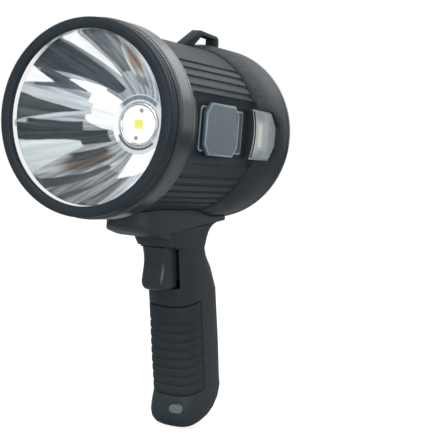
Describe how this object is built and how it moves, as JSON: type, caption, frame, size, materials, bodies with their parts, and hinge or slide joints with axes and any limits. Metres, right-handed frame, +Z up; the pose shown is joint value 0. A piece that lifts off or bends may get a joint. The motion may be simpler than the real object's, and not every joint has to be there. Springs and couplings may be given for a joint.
{
  "type": "rechargeable flashlight",
  "caption": "Pistol-grip rechargeable spotlight with deep mirror reflector, side lamp, push button, sprung trigger, strap loop and covered charging socket.",
  "frame": {"origin": "on the ground under the middle of the light's bounding box, with the grip's toe lowest", "axes": "-Y is the way the light shines, +Z is up, +X is the side with the push button and the side lamp"},
  "size_m": [0.116, 0.185, 0.2658],
  "materials": {
    "black_plastic": "satin black moulded plastic",
    "black_rubber": "matt black rubber",
    "front_glass": "clear, polished",
    "lamp_plastic": "frosted clear plastic",
    "mirror_coat": "mirror-bright metal coat",
    "white_parts": "white, smooth",
    "phosphor": "yellow light-emitting coat",
    "button_grey": "satin blue-grey plastic",
    "board_green": "green lacquered circuit board",
    "sink_metal": "bare cast and machined",
    "steel": "plated steel",
    "dark_parts": "dark moulded plastic",
    "capacitor_blue": "blue shrink sleeve",
    "cell_wrap": "blue film over a metal can",
    "sleeve_film": "smooth plastic film",
    "indicator_grey": "translucent grey plastic"
  },
  "bodies": {
    "light": {"front_bezel": "black_plastic", "lens_gasket": "black_rubber", "front_lens": "front_glass", "reflector": "mirror_coat", "head_collar": "black_plastic", "barrel": "black_plastic", "rear_cap": "black_plastic", "rear_gasket": "black_rubber", "rear_cap_screws": "steel", "strap_loop": "black_plastic", "strap_loop_screws": "steel", "led_board": "white_parts", "led_emitter": "phosphor", "led_retainer": "mirror_coat", "led_screws": "steel", "heat_sink": "sink_metal", "heat_sink_screws": "steel", "driver_board": "board_green", "driver_board_screws": "steel", "driver_inductor": "dark_parts", "driver_capacitors": "capacitor_blue", "button_frame": "button_grey", "button_spring": "steel", "button_board": "board_green", "button_switch": "dark_parts", "button_board_screws": "steel", "side_lamp_lens": "lamp_plastic", "side_lamp_tray": "white_parts", "side_lamp_board": "board_green", "side_lamp_led": "phosphor", "saddle": "black_plastic", "saddle_screws": "steel", "grip_left": "black_plastic", "grip_right": "black_plastic", "grip_screws": "steel", "grip_pad": "black_rubber", "back_strap": "black_rubber", "trigger_pin": "steel", "trigger_spring": "steel", "trigger_switch": "dark_parts", "battery_cells": "cell_wrap", "battery_sleeve": "sleeve_film", "battery_tabs": "steel", "charge_board": "board_green", "charge_socket": "dark_parts", "charge_indicator": "indicator_grey"},
    "trigger": {"trigger": "black_plastic"},
    "side_button": {"side_button": "button_grey"},
    "charge_cap": {"charge_cap": "black_rubber"}
  },
  "joints": [
    {"name": "trigger_pull", "type": "hinge", "parent": "light", "child": "trigger", "pos_m": [0, 0.01075, 0.13034], "axis": [1, 0, 0], "range_deg": [0, 8], "stiffness_Nm_per_rad": 0.5, "springref_deg": -5.73, "deforming": ["trigger_spring"]},
    {"name": "button_push", "type": "slide", "parent": "light", "child": "side_button", "axis": [-1, 0, 0], "range_m": [0, 0.0015], "stiffness_N_per_m": 1000, "springref_m": -0.001, "deforming": ["button_spring"]},
    {"name": "flap_swing", "type": "hinge", "parent": "light", "child": "charge_cap", "pos_m": [0, 0.07235, 0.00678], "axis": [1, 0, 0], "range_deg": [0, 95]}
  ]
}
